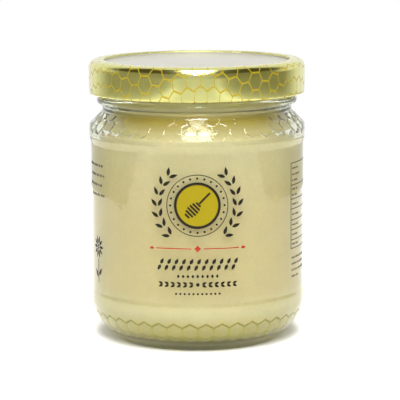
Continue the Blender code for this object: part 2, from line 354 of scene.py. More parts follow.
class Honeycomb:
    """Rows of raised hexagon pads on a turned outline, with round grooves between them.

    LEVELS are the sizes of the rings inside a pad. SKIRT_SHARES are the gaps of the rings outside a
    row, in half groove widths. FAINT is the painted groove shade low on a pad, full at a share of its
    side that is set next to FAINT.
    """
    LEVELS = (1.0, 0.95, 0.9, 0.85, 0.8, 0.5, 0.25)
    SKIRT_SHARES = (0.0, 0.25, 0.5, 0.75, 1.0, 2.2)
    EDGE_STEPS = 6
    FAINT, STAIN_RISE = 0.2, 0.62

    def __init__(self, turned, glass, radius, start, stain=0.0):
        self.turned = turned
        # Strength of the painted shade in this honeycomb's grooves.
        self.stain = stain
        self.pitch = FULL_TURN / glass.cells_around
        self.count = glass.cells_around
        self.width = self.pitch * radius
        self.side = self.width / math.sqrt(3.0)
        self.depth = glass.groove_depth
        self.reach = glass.groove_width / 2.0
        self.dome = glass.pad_dome
        self.start = start

    def lift(self, gap):
        """How far the surface stands off its outline at a gap from the nearest groove line."""
        fall = self.dome * (1.0 - min(2.0 * gap / self.width, 1.0)) ** 2
        return -fall - self.depth * (1.0 - smooth_step(0.0, self.reach, gap))

    def place(self, centre, x, y, gap):
        """A vertex of a cell: centre is (azimuth, along), and x and y are in metres from it."""
        azimuth = centre[0] + x / self.width * self.pitch
        vertex = self.turned.vertex(azimuth, centre[1] + y, self.lift(gap))
        # Painted groove shade: faint low on a pad, full higher up its side.
        high = smooth_step(0.0, self.STAIN_RISE * self.side, y)
        self.paint_shade(vertex, self.FAINT + (1.0 - self.FAINT) * high, gap)
        return azimuth, vertex

    def paint_shade(self, vertex, strength, gap):
        """Paint shade on a vertex: strongest on a groove's line, and fading over the groove."""
        fading = 1.0 - smooth_step(0.1 * MM, 1.3 * self.reach, gap)
        vertex[self.turned.stain] = self.stain * strength * fading

    def corners(self, cut=None):
        """Corners of a cell round its centre: whole, or cut off level above its centre."""
        half, side = self.width / 2.0, self.side
        if cut is None:
            return [(0.0, -side), (half, -side / 2), (half, side / 2), (0.0, side), (-half, side / 2),
                    (-half, -side / 2), (0.0, -side)]
        return [(-half, cut), (-half, -side / 2), (0.0, -side), (half, -side / 2), (half, cut)]

    def border(self, corners):
        """Points along the corners' lines."""
        points = [corners[0]]
        for start, end in zip(corners, corners[1:]):
            points += [(start[0] + (end[0] - start[0]) * step / self.EDGE_STEPS,
                        start[1] + (end[1] - start[1]) * step / self.EDGE_STEPS)
                       for step in range(1, self.EDGE_STEPS + 1)]
        return points

    def cell(self, centre, cut=None):
        """One pad. Returns the (azimuth, vertex) pairs along its cut edge."""
        border = self.border(self.corners(cut))
        hub = (0.0, 0.0 if cut is None else cut)
        levels = []
        for share in self.LEVELS:
            gap = (1.0 - share) * self.width / 2.0
            points = [(hub[0] + (x - hub[0]) * share, hub[1] + (y - hub[1]) * share) for x, y in border]
            levels.append([self.place(centre, x, y, gap) for x, y in points])
        middle = self.place(centre, hub[0], hub[1], self.width)
        for outer, inner in zip(levels, levels[1:]):
            for i in range(len(border) - 1):
                self.turned.bm.faces.new((outer[i][1], outer[i + 1][1], inner[i + 1][1], inner[i][1]))
        for i in range(len(border) - 1):
            self.turned.bm.faces.new((levels[-1][i][1], levels[-1][i + 1][1], middle[1]))
        return [level[0] for level in levels] + [middle] + [level[-1] for level in levels[::-1]]

    def row_centre(self, row):
        """Distance along the outline of a row's centres; row 0 begins at start."""
        return self.start + self.side * (1.0 + 1.5 * row)

    def add_row(self, row, top=None):
        """All pads of a row; top is where the row is cut off. Returns the ring along the cut."""
        cut_ring = {}
        for index in range(self.count):
            azimuth = (index + 0.5 + 0.5 * row) * self.pitch
            centre = (azimuth, self.row_centre(row))
            edge = self.cell(centre, None if top is None else top - centre[1])
            if top is not None:
                for turn, vertex in edge:
                    turn = turn % FULL_TURN
                    cut_ring[azimuth_key(turn)] = (turn, vertex)
        return list(cut_ring.values())

    def zigzag(self, base, tip_side, shift, gap):
        """A zigzag ring beside a row of pads, whose tips point to the side tip_side (+1 up, -1 down)."""
        steps = 2 * self.EDGE_STEPS
        ring = []
        for index in range(self.count * steps):
            azimuth = self.pitch * index / steps
            share = abs((index % steps) / self.EDGE_STEPS - 1.0)
            along = base - tip_side * share * self.side / 2.0 + shift
            vertex = self.turned.vertex(azimuth, along, self.lift(gap))
            # Painted shade: full along the upper zigzag, faint along the lower.
            self.paint_shade(vertex, 1.0 if tip_side > 0 else self.FAINT, gap)
            ring.append((azimuth % FULL_TURN, vertex))
        return ring

    def skirt(self, base, tip_side):
        """Zigzag rings from the border of a row out to the plain glass, nearest first."""
        slant = 2.0 / math.sqrt(3.0)
        gaps = [share * self.reach for share in self.SKIRT_SHARES]
        return [self.zigzag(base, tip_side, tip_side * gap * slant, gap) for gap in gaps]


def socket_value(value):
    """A plain value as a socket takes it."""
    return (*value, 1.0) if isinstance(value, (tuple, list)) and len(value) == 3 else value


class Signal:
    """A node's output that takes part in arithmetic: each operator adds one Math node."""

    def __init__(self, finish, socket):
        self.finish = finish
        self.socket = socket

    def also(self, output):
        """Another output of the same node."""
        return Signal(self.finish, self.socket.node.outputs[output])

    def math(self, operation, *values):
        return self.finish.node("ShaderNodeMath", {"operation": operation}, dict(enumerate(values)))

    def __add__(self, other):
        return self.math("ADD", self, other)

    def __sub__(self, other):
        return self.math("SUBTRACT", self, other)

    def __rsub__(self, other):
        return self.math("SUBTRACT", other, self)

    def __mul__(self, other):
        return self.math("MULTIPLY", self, other)

    def __truediv__(self, other):
        return self.math("DIVIDE", self, other)

    def __mod__(self, other):
        return self.math("FLOORED_MODULO", self, other)

    def __lt__(self, other):
        return self.math("LESS_THAN", self, other)

    def __abs__(self):
        return self.math("ABSOLUTE", self)

    __radd__ = __add__

    def maximum(self, other):
        return self.math("MAXIMUM", self, other)

    def minimum(self, other):
        return self.math("MINIMUM", self, other)

    def smooth(self, low, high):
        """Smooth rise from 0 at low to 1 at high."""
        return self.finish.node("ShaderNodeMapRange", {"interpolation_type": "SMOOTHSTEP"},
                                {"Value": self, "From Min": low, "From Max": high})


class Finish:
    """One node tree and the ways to fill it."""

    def __init__(self, tree):
        self.tree = tree

    def node(self, kind, settings=None, inputs=None, output=0):
        """Add a node: its settings first, then the values or links of its sockets."""
        node = self.tree.nodes.new(kind)
        for name, value in (settings or {}).items():
            if name == "stops":
                self.set_stops(node.color_ramp, value)
            else:
                setattr(node, name, value)
        for key, value in (inputs or {}).items():
            if isinstance(value, Signal):
                self.tree.links.new(value.socket, node.inputs[key])
            elif node.inputs[key].type == "RGBA":
                node.inputs[key].default_value = socket_value(tuple(value))
            else:
                node.inputs[key].default_value = value
        return Signal(self, node.outputs[output]) if node.outputs else None

    @staticmethod
    def set_stops(ramp, stops):
        while len(ramp.elements) < len(stops):
            ramp.elements.new(0.5)
        for element, (position, colour) in zip(ramp.elements, stops):
            element.position = position
            element.color = socket_value(tuple(colour))

    def blend(self, factor, first, second, kind="MIX"):
        """Colour mix: first where factor is 0, second where it is 1."""
        return self.node("ShaderNodeMix", {"data_type": "RGBA", "blend_type": kind},
                         {0: factor, 6: first, 7: second}, output=2)

    def noise(self, scale, detail=2.0, roughness=0.5):
        """Noise value from 0 to 1 on object positions."""
        inputs = {"Vector": self.position(), "Scale": scale, "Detail": detail, "Roughness": roughness}
        return self.node("ShaderNodeTexNoise", None, inputs)

    def position(self):
        return self.node("ShaderNodeTexCoord", None, None, output="Object")

    def axes(self, vector=None):
        """X of a vector, or of the object position where none is given; also() gives its Y and Z."""
        return self.node("ShaderNodeSeparateXYZ", None, {0: vector or self.position()})

    def attribute(self, name):
        """A number that the mesh carries at its vertices."""
        return self.node("ShaderNodeAttribute", {"attribute_name": name}, None, output="Fac")

    def ramp(self, factor, stops):
        """Colour from (position, colour) stops."""
        return self.node("ShaderNodeValToRGB", {"stops": stops}, {"Fac": factor})

    def vectors(self, operation, *values, output=0):
        """Vector maths."""
        return self.node("ShaderNodeVectorMath", {"operation": operation}, dict(enumerate(values)), output)

    def scaled(self, colour, factor):
        """A colour made lighter or darker by a factor."""
        return self.node("ShaderNodeVectorMath", {"operation": "SCALE"}, {0: colour, "Scale": factor})

    def bump(self, height, strength, distance):
        inputs = {"Height": height, "Strength": strength, "Distance": distance}
        return self.node("ShaderNodeBump", None, inputs)


def new_material(name, shader_inputs, build=None, volume=None):
    """A Principled material; build(finish) returns the inputs that vary over the surface."""
    material = bpy.data.materials.new(name)
    material.use_nodes = True
    material.node_tree.nodes.clear()
    finish = Finish(material.node_tree)
    inputs = dict(shader_inputs)
    inputs.update(build(finish) if build else {})
    shader = finish.node("ShaderNodeBsdfPrincipled", None, inputs)
    surfaces = {"Surface": shader}
    if volume:
        surfaces["Volume"] = finish.node("ShaderNodeVolumeAbsorption", None, volume)
    finish.node("ShaderNodeOutputMaterial", None, surfaces)
    return material


def glass_material(glass):
    """Clear pressed glass, wavy from the mould, rippled on the shoulder, with painted shade where it is
    thick and in the heel's grooves.
    """
    def build(finish):
        height = finish.axes().also("Z")
        on_shoulder = height.smooth(64.4 * MM, 65.4 * MM) * (1.0 - height.smooth(70.6 * MM, 71.6 * MM))
        waves = finish.noise(90.0, 1.0) * 0.8 + finish.noise(420.0) * 0.2
        ripple = finish.noise(1500.0, 1.0) * on_shoulder * 0.22
        # Painted shade: clear where unshaded, the base colour on the thick base, darkest in the heel's
        # grooves.
        stops = [(0.0, glass.glass_tint), (0.3, glass.base_shade), (1.0, glass.groove_shade)]
        return {"Base Color": finish.ramp(finish.attribute("stain"), stops),
                "Normal": finish.bump(waves + ripple, 0.25, 0.12 * MM)}
    return new_material("clear_glass", {"Roughness": 0.0, "IOR": 1.52, "Transmission Weight": 1.0}, build,
                        {"Color": glass.glass_body, "Density": 30.0})


def honey_material(honey):
    """Pale set honey: fine grained, mottled, deeper in colour near its top as painted shade under the lid,
    with painted light in the neck and near the bottom, and painted shade over the base.
    """
    def build(finish):
        cloud = finish.noise(160.0, 3.0, 0.55)
        grain = finish.noise(1300.0, 2.0, 0.6)
        # Painted shade and light by height: shade over the base and under the lid, light near the bottom
        # and in the neck.
        levels = [(5.5, honey.foot), (11.5, honey.low), (18.5, honey.pale), (40.0, honey.pale),
                  (61.5, honey.bloom), (64.0, honey.bloom), (66.2, honey.turn), (69.0, honey.lid_shaded_honey),
                  (73.0, honey.neck)]
        stops = [(level / HONEY_RAMP, colour) for level, colour in levels]
        ramp = finish.ramp(finish.axes().also("Z") / (HONEY_RAMP * MM), stops)
        shade = (cloud - 0.5) * 0.10 + (grain - 0.5) * 0.16 + 1.0
        return {"Base Color": finish.scaled(ramp, shade), "Normal": finish.bump(grain, 0.3, 0.05 * MM)}
    return new_material("set_honey", {"Roughness": 0.5, "Specular IOR Level": 0.15,
                                      "Subsurface Weight": 0.25, "Subsurface Radius": (1.0, 0.7, 0.3),
                                      "Subsurface Scale": 1.2 * MM}, build)


def hexagon_lines(place, radial, width, line):
    """1 on the lines of a honeycomb whose cells are width across their flats, else 0.

    Lines across the radial direction are thick and lines along it are thin, as the drawing of the sheet
    leaves them.
    """
    x, y = place, place.also("Y")
    tall = width * math.sqrt(3.0)
    first_x, first_y = x % width - width / 2.0, y % tall - tall / 2.0
    second_x, second_y = (x - width / 2.0) % width - width / 2.0, (y - tall / 2.0) % tall - tall / 2.0
    pick = first_x * first_x + first_y * first_y < second_x * second_x + second_y * second_y
    near_x = second_x + (first_x - second_x) * pick
    near_y = second_y + (first_y - second_y) * pick
    slant = abs(near_x) * 0.5 + abs(near_y) * math.sqrt(0.75)
    same_side = 1.0 - (near_x * near_y < 0.0) * 2.0
    along, across = radial.also("Y"), radial
    upright_gap = (width / 2.0 - abs(near_x)) / (0.6 + abs(across) * 0.8)
    slanted_across = across * 0.5 + along * same_side * math.sqrt(0.75)
    slanted_gap = (width / 2.0 - slant) / (0.6 + abs(slanted_across) * 0.8)
    return 1.0 - upright_gap.minimum(slanted_gap).smooth(line * 0.4, line * 0.65)


def lid_material(lid):
    """Clear gold lacquer over bright tinplate with a printed honeycomb, painted shade on the rolled edge,
    and pale enamel inside.
    """
    def build(finish):
        place = finish.node("ShaderNodeUVMap", {"uv_map": "flat_sheet"})
        radial = finish.axes(finish.vectors("NORMALIZE", place))
        shift = (-0.7 * MM / SHEET_UNIT, -0.585 * MM / SHEET_UNIT, 0.0)
        shifted = finish.axes(finish.vectors("SUBTRACT", place, shift))
        lines = hexagon_lines(shifted, radial, lid.cell_width / SHEET_UNIT, lid.line_width / SHEET_UNIT)
        zone = finish.attribute("zone")
        inside = zone.smooth(1.4, 1.6)
        panel = zone.smooth(0.4, 0.6) * (1.0 - inside)
        metal = (1.0 - panel) * (1.0 - inside)
        lines = lines * metal
        height = finish.axes().also("Z")
        level = finish.vectors("MULTIPLY", finish.position(), (1.0, 1.0, 0.0))
        from_axis = finish.vectors("LENGTH", level, output="Value")
        panel_wall = (from_axis < LID_PANEL_RADIUS + 0.05 * MM) * (height < lid.lid_top - 0.02 * MM)
        # Painted shade on the rolled hem.
        curl_shade = 1.0 - height.smooth(lid.lid_hem + 0.1 * MM, lid.lid_hem + LID_CURL)
        wear = finish.noise(260.0, 3.0)
        speck = finish.noise(700.0, 1.0).smooth(0.80, 0.84)
        lacquer = finish.blend(curl_shade, lid.lacquer, lid.shaded_edge_lacquer)
        printed = finish.blend(lines * (1.0 - panel_wall), lacquer, lid.line_ink)
        enamel = finish.blend(inside, lid.panel_white, lid.inside_enamel)
        enamel = finish.blend(speck * panel, enamel, (0.12, 0.11, 0.09))
        satin = (1.0 - metal) * 0.25 + panel_wall * metal * 0.35
        return {"Base Color": finish.blend(metal, enamel, printed),
                "Metallic": (1.0 - lines * 0.65) * metal,
                "Roughness": 0.13 + wear * 0.05 + lines * 0.10 + satin}
    return new_material("lacquered_tinplate", {"Coat Weight": 0.2, "Coat Roughness": 0.06, "Coat IOR": 1.5},
                        build)


def ink_material(name, colour, spread):
    """Fired ink with slightly uneven cover."""
    def build(finish):
        cover = finish.noise(1500.0) * spread + (1.0 - spread / 2.0)
        return {"Base Color": finish.scaled(tuple(colour), cover),
                "Roughness": finish.noise(800.0) * 0.2 + 0.4}
    return new_material(name, {"IOR": 1.5, "Specular IOR Level": 0.15}, build)


def inner_floor(wall, dip=0.0):
    """Corners of the inside of the glass, from the middle of its floor to its wall, sunk into it by dip."""
    bend, rise = 9.0 * MM, 8.4 * MM
    return [(0.0, 5.2 * MM - dip, 0.0), (10.0 * MM, 5.1 * MM - dip, 12.0 * MM),
            *sharp(arc((wall - bend, 13.0 * MM), (bend + dip, rise + dip), -90.0, 0.0, 14))]


def glass_outline(glass):
    """Outer and inner path of the glass, from the middle of the underside to the middle of the floor."""
    lower, panel, upper = glass.lower_band_radius, glass.panel_radius, glass.upper_band_radius
    neck, wall, rim = glass.neck_radius, glass.wall_radius, glass.rim_height
    mouth, mouth_outside = INNER_NECK[0], 29.7 * MM
    heel = bowed((25.7 * MM, 0.6 * MM), (lower, HEEL_TOP), 1.25 * MM, 40)[1:37]
    bead_centre = (neck + 0.2 * MM, 73.8 * MM)
    bead = arc(bead_centre, (glass.bead_radius - bead_centre[0], 1.45 * MM), -58.0, 60.0, 12)
    corners = [(0.0, 1.9 * MM, 0.0), (19.5 * MM, 1.5 * MM, 4.0 * MM), (22.2 * MM, 0.0, 1.2 * MM),
               (24.8 * MM, 0.0, 1.2 * MM), *sharp(heel), (lower, HEEL_TOP, 8.0 * MM),
               (lower, 14.7 * MM, 0.9 * MM), (panel, 15.7 * MM, 1.2 * MM), (panel, 60.8 * MM, 2.0 * MM),
               (upper, 62.5 * MM, 2.5 * MM), (upper, SHOULDER_CORNER, 1.1 * MM),
               (neck, SHOULDER_TOP, 1.2 * MM), (neck, 72.0 * MM, 0.9 * MM), *sharp(bead),
               (mouth_outside, 75.3 * MM, 0.4 * MM), (mouth_outside, rim, 0.9 * MM), (mouth, rim, 0.9 * MM),
               (*INNER_NECK, 3.0 * MM), (*INNER_SHOULDER, 3.0 * MM), (wall + 0.2 * MM, 64.2 * MM, 2.0 * MM),
               (wall, 60.5 * MM, 3.0 * MM), *inner_floor(wall)[::-1]]
    return Outline(rounded(corners))


def make_glass_jar(settings):
    """The hollow jar, with honeycomb relief modelled on its heel and shoulder."""
    glass = settings.glass
    outline = glass_outline(glass)
    turned = TurnedMesh(outline)
    heel_radius, relief_margin = 32.0 * MM, 1.2 * MM
    heel_drop, corner_drop, neck_drop = 1.95 * MM, 1.6 * MM, 0.45 * MM
    heel_height = 2.0 * FULL_TURN * heel_radius / glass.cells_around / math.sqrt(3.0)
    heel_top = outline.nearest(glass.lower_band_radius, HEEL_TOP) - heel_drop
    # The heel's grooves carry painted shade; the shoulder's carry none.
    heel = Honeycomb(turned, glass, heel_radius, heel_top - heel_height, stain=1.0)
    corner = outline.nearest(glass.upper_band_radius, SHOULDER_CORNER)
    shoulder = Honeycomb(turned, glass, glass.upper_band_radius, corner - corner_drop)
    neck = outline.nearest(glass.neck_radius, SHOULDER_TOP) - neck_drop
    fine = 6 * glass.cells_around

    def plain(low, high):
        """Level rings at the outline's own points between two distances, fewer columns near the axis."""
        chosen, last = [], -1.0
        for along in outline.distance:
            if low < along < high and along - last > 0.2 * MM:
                wide = outline.at(along)[0] > 12.0 * MM
                chosen.append(turned.ring(along, fine if wide else fine // 3))
                last = along
        return chosen

    below = heel.skirt(heel.start, -1)
    above = heel.skirt(heel_top, 1)
    under = shoulder.skirt(shoulder.start, -1)
    base = plain(0.5 * MM, heel.start - relief_margin)
    # Painted shade in the thick base, in bands by height.
    for _, vertex in [item for ring in base for item in ring]:
        vertex[turned.stain] = float(np.interp(vertex.co.z / MM, BASE_SHADE_HEIGHTS, BASE_SHADES))
    turned.cap(base[0], 0.0)
    turned.rings(base + below[::-1])
    heel.add_row(0)
    middle = plain(heel_top + relief_margin, shoulder.start - relief_margin)
    turned.rings(above + middle + under[::-1])
    shoulder.add_row(0)
    cut = shoulder.add_row(1, top=neck)
    last = plain(neck + 0.2 * MM, outline.total - 0.5 * MM)
    turned.rings([cut] + last)
    turned.cap(last[-1], outline.total)
    jar = turned.finish("glass_shell")
    jar.data.materials.append(glass_material(glass))
    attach(jar, BODY)
    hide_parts("glass_jar")


def make_honey(settings):
    """The honey: it wets the glass up to the shoulder and stands clear of it above."""
    honey = settings.honey
    dip, gap, top = 0.12 * MM, honey.shoulder_gap, honey.honey_top
    wall, neck = settings.glass.wall_radius + dip, INNER_NECK[0] - gap
    corners = [*inner_floor(settings.glass.wall_radius, dip), (wall, honey.contact_top, 0.6 * MM),
               (wall + 0.1 * MM - gap, 64.6 * MM, 1.0 * MM),
               (INNER_SHOULDER[0] - gap, INNER_SHOULDER[1], 2.0 * MM), (neck, INNER_NECK[1], 2.0 * MM),
               (neck, top, 2.0 * MM), (12.0 * MM, top + 0.4 * MM, 10.0 * MM), (0.0, top + 0.5 * MM, 0.0)]
    turned = TurnedMesh(Outline(rounded(corners, 5)))
    columns = 168
    turned.close([turned.ring(along, columns) for along in turned.outline.distance[1:-1]])
    fill = turned.finish("honey_fill")
    fill.data.materials.append(honey_material(honey))
    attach(fill, BODY)
    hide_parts("honey")


def lid_outline(lid):
    """Outer and inner path of the lid, from the middle of its top to the middle of its underside."""
    radius, top, hem = lid.lid_radius, lid.lid_top, lid.lid_hem
    panel, sheet, taper = top - lid.panel_drop, 0.28 * MM, 0.0045 * MM
    under, skirt, curl = panel - sheet, radius - sheet, radius - 2.0 * LID_CURL
    button = [(0.0, 0.45 * MM, 0.0), (11.5 * MM, 0.38 * MM, 2.0 * MM), (13.2 * MM, 0.0, 1.5 * MM)]
    corners = [*[(r, panel + rise, fillet) for r, rise, fillet in button],
               (LID_PANEL_RADIUS - 0.04 * MM, panel, 0.0), (LID_PANEL_RADIUS, top, 0.0),
               (radius, top, lid.corner_radius),
               *[(radius - taper * step * step, hem + TAPERED_SKIRT - step * MM, 0.0) for step in range(5)],
               (radius - 0.11 * MM, hem, LID_CURL), (curl, hem, LID_CURL), (curl, hem + 1.5 * MM, 0.5 * MM),
               (skirt, hem + 2.2 * MM, 0.8 * MM), (skirt, 84.6 * MM, 0.8 * MM),
               (31.2 * MM, 84.55 * MM, 0.3 * MM), (25.6 * MM, 84.5 * MM, 0.3 * MM),
               (25.2 * MM, under, 0.3 * MM),
               *[(r, under + rise, fillet) for r, rise, fillet in button[::-1]]]
    return Outline(rounded(corners, 7))


def flat_sheet_radius(outline):
    """Radius on the undrawn sheet of each point of an outline, with the sheet's area kept."""
    radii = outline.points[:, 0]
    middles = (radii[1:] + radii[:-1]) / 2.0
    steps = np.diff(outline.distance)
    return np.sqrt(2.0 * np.concatenate([[0.0], np.cumsum(middles * steps)]))


def make_lid(settings):
    """The drawn lid, with flat-sheet coordinates for its print."""
    lid = settings.lid
    outline = lid_outline(lid)
    turned = TurnedMesh(outline)
    skirt_low = outline.nearest(lid.lid_radius, lid.lid_hem + TAPERED_SKIRT)
    skirt_high = outline.nearest(lid.lid_radius, lid.lid_top - lid.corner_radius)
    along = sorted([*outline.distance[1:-1], *np.linspace(skirt_high, skirt_low, 4)[1:-1]])
    columns, turn = 252, math.radians(3.0)
    turned.close([turned.ring(distance, columns) for distance in along])
    piece = turned.finish("lid_shell", edge_angle=50.0)
    mesh = piece.data
    distances = np.append(np.repeat(along, columns), (0.0, outline.total))
    radii = np.interp(distances, outline.distance, flat_sheet_radius(outline)) / SHEET_UNIT
    panel_end = outline.nearest(28.3 * MM, lid.lid_top - lid.panel_drop)
    inner_start = outline.nearest(lid.lid_radius - 2.0 * LID_CURL, lid.lid_hem + LID_CURL)
    zone = mesh.attributes.new("zone", "FLOAT", "POINT")
    layer = mesh.uv_layers.new(name="flat_sheet")
    places = []
    for vertex, distance, radius in zip(mesh.vertices, distances, radii):
        azimuth = math.atan2(vertex.co.x, -vertex.co.y) - turn
        places.append((radius * math.sin(azimuth), -radius * math.cos(azimuth)))
        zone.data[vertex.index].value = 2.0 if distance > inner_start else float(distance <= panel_end)
    for loop in mesh.loops:
        layer.data[loop.index].uv = places[loop.vertex_index]
    mesh.materials.append(lid_material(lid))
    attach(piece, BODY)
    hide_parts("lid")


def turned_point(x, z, point, angle):
    """A point given round (x, z), turned by an angle in degrees."""
    cos, sin = math.cos(math.radians(angle)), math.sin(math.radians(angle))
    return (x + point[0] * cos - point[1] * sin, z + point[0] * sin + point[1] * cos)


def circle(x, z, radius, sides):
    """Points of a circle, counter-clockwise."""
    return [turned_point(x, z, (radius, 0.0), 360.0 * i / sides) for i in range(sides)]


class Decal:
    """Flat shapes in millimetres that are cut into strips, thickened and bent round the panel.

    STRIP is the widest strip, and points closer than TOUCH count as one.
    """
    STRIP = 0.8
    TOUCH = 1e-4

    def __init__(self, name, settings, layers=0.2):
        """layers is how far the shapes stand off the glass, in layers of ink."""
        self.name = name
        self.thickness = settings.ink.ink_thickness
        self.glass_radius = settings.glass.panel_radius
        self.foot_radius = self.glass_radius + layers * self.thickness
        self.bm = bmesh.new()

    def face(self, points):
        """A shape from its corners, counter-clockwise as seen from the front."""
        self.bm.faces.new([self.bm.verts.new((x, 0.0, z)) for x, z in points])

    def strip(self, first, second):
        """Quads between two lines of points."""
        lines = [[self.bm.verts.new((x, 0.0, z)) for x, z in line] for line in (first, second)]
        for i in range(len(first) - 1):
            self.bm.faces.new((lines[0][i], lines[0][i + 1], lines[1][i + 1], lines[1][i]))

    def disc(self, x, z, radius, sides=40):
        self.face(circle(x, z, radius, sides))

    def band(self, x, z, inner, outer, sides=64):
        """A ring."""
        first, second = circle(x, z, outer, sides), circle(x, z, inner, sides)
        self.strip(first + first[:1], second + second[:1])
        bmesh.ops.remove_doubles(self.bm, verts=self.bm.verts, dist=self.TOUCH)

    def bar(self, x, z, width, height, angle=0.0):
        """A bar with round ends, turned by an angle in degrees round its middle."""
        end = height / 2.0
        run = width / 2.0 - end
        right = arc((run, 0.0), (end, end), -90.0, 90.0, 6)
        points = right + [(-a, -b) for a, b in right]
        self.face([turned_point(x, z, point, angle) for point in points])

    def leaf(self, x, z, size, width, angle):
        """A pointed leaf from its foot at (x, z)."""
        shares = np.linspace(0.0, 1.0, 9)
        side = [(size * s, width / 2.0 * math.sin(math.pi * s ** 0.8)) for s in shares]
        points = [(a, -b) for a, b in side[:-1]] + [(a, b) for a, b in side[::-1][:-1]]
        self.face([turned_point(x, z, point, angle) for point in points])

    def leaves(self, x, z, size, width, angle):
        """A leaf to the right of the middle and its mirror image to the left."""
        self.leaf(x, z, size, width, angle)
        self.leaf(-x, z, size, width, 180.0 - angle)

    def diamond(self, x, z, width, height):
        self.face([(x + width / 2, z), (x, z + height / 2), (x - width / 2, z), (x, z - height / 2)])

    def finish(self, material, slot, azimuth=0.0):
        """Cut, thicken, bend and link the shapes."""
        bmesh.ops.triangulate(self.bm, faces=self.bm.faces)
        low = min(v.co.x for v in self.bm.verts)
        high = max(v.co.x for v in self.bm.verts)
        for cut in np.arange(math.floor(low), high, self.STRIP):
            everything = self.bm.verts[:] + self.bm.edges[:] + self.bm.faces[:]
            bmesh.ops.bisect_plane(self.bm, geom=everything, plane_co=(cut, 0, 0), plane_no=(1, 0, 0),
                                   dist=self.TOUCH)
        grown = bmesh.ops.extrude_face_region(self.bm, geom=self.bm.faces[:], use_keep_orig=True)
        outer = {item for item in grown["geom"] if isinstance(item, bmesh.types.BMVert)}
        for vertex in self.bm.verts:
            turn = vertex.co.x * MM / self.glass_radius + azimuth
            radius = self.foot_radius + (self.thickness if vertex in outer else 0.0)
            vertex.co = (radius * math.sin(turn), -radius * math.cos(turn), vertex.co.z * MM)
        mesh = mesh_of(self.bm, self.name)
        mesh.materials.append(material)
        piece = link_piece(self.name, mesh)
        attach(piece, BODY)


def make_medallion(settings, dark):
    """The round medallion on the front: yellow field, dark rings, honey dipper and laurel."""
    centre, tilt = 45.4, 45.0
    field = Decal("medallion_field", settings)
    field.disc(0.0, centre, 6.6, 64)
    field.finish(ink_material("yellow_ink", settings.ink.yellow_ink, 0.10), "yellow_ink")

    lines = Decal("medallion_lines", settings, 1.3)
    lines.band(0.0, centre, 6.15, 6.95)
    for x, z in circle(0.0, centre, 8.1, 24):
        lines.disc(x, z, 0.34, 10)
    lines.band(0.0, centre, 9.0, 9.25, 80)
    dipper_ribs = ((-4.3, 1.9), (-3.35, 3.0), (-2.4, 3.5), (-1.45, 3.5), (-0.5, 3.0), (0.45, 1.9))
    for offset, width in dipper_ribs:
        lines.bar(*turned_point(0.0, centre, (offset, 0.0), tilt), width, 0.62, tilt + 90.0)
    lines.bar(*turned_point(0.0, centre, (3.1, 0.0), tilt), 4.6, 0.6, tilt)
    lines.finish(dark, "dark_ink")

    laurel = Decal("laurel", settings)
    for i in range(7):
        along = -48.0 + 15.5 * i
        for lean, reach in ((38.0, 12.35), (-28.0, 11.8)):
            laurel.leaves(*turned_point(0.0, centre, (reach, 0.0), along), 2.7, 1.05, along + 90.0 - lean)
    laurel.finish(dark, "dark_ink")


def make_front_rows(settings, dark):
    """Below the medallion: a red rule and rows of ornament."""
    red = Decal("red_rule", settings)
    height = 32.5
    red.diamond(0.0, height, 2.0, 2.0)
    for side in (1, -1):
        red.bar(side * 7.2, height, 10.8, 0.32)
    red.leaves(13.2, height, 1.6, 0.8, 0.0)
    red.finish(ink_material("red_ink", settings.ink.red_ink, 0.15), "red_ink")

    rows = Decal("ornament_rows", settings)
    for i in range(-5, 6):
        rows.leaf(2.24 * i, 27.8, 2.0, 1.0, 62.0)
        rows.leaf(2.24 * i, 27.6, 2.0, 1.0, -118.0)
        rows.disc(1.3 * i, 18.9, 0.34, 10)
    for i in range(-4, 5):
        rows.diamond(1.45 * i, 24.2, 0.9, 1.2)
    for i in range(6):
        rows.leaves(1.3 + 1.85 * i, 21.8, 1.5, 0.75, 25.0)
        rows.leaves(1.3 + 1.85 * i, 21.55, 1.5, 0.75, -25.0)
    rows.disc(0.0, 21.7, 0.55, 14)
    rows.finish(dark, "dark_ink")


def fine_row(decal, x, z, words, height=0.72):
    """A row of fine upright marks in groups, running right from x."""
    for word in words:
        for _ in range(word):
            decal.diamond(x, z, 0.34, height)
            x += MARK_STEP
        x += WORD_GAP


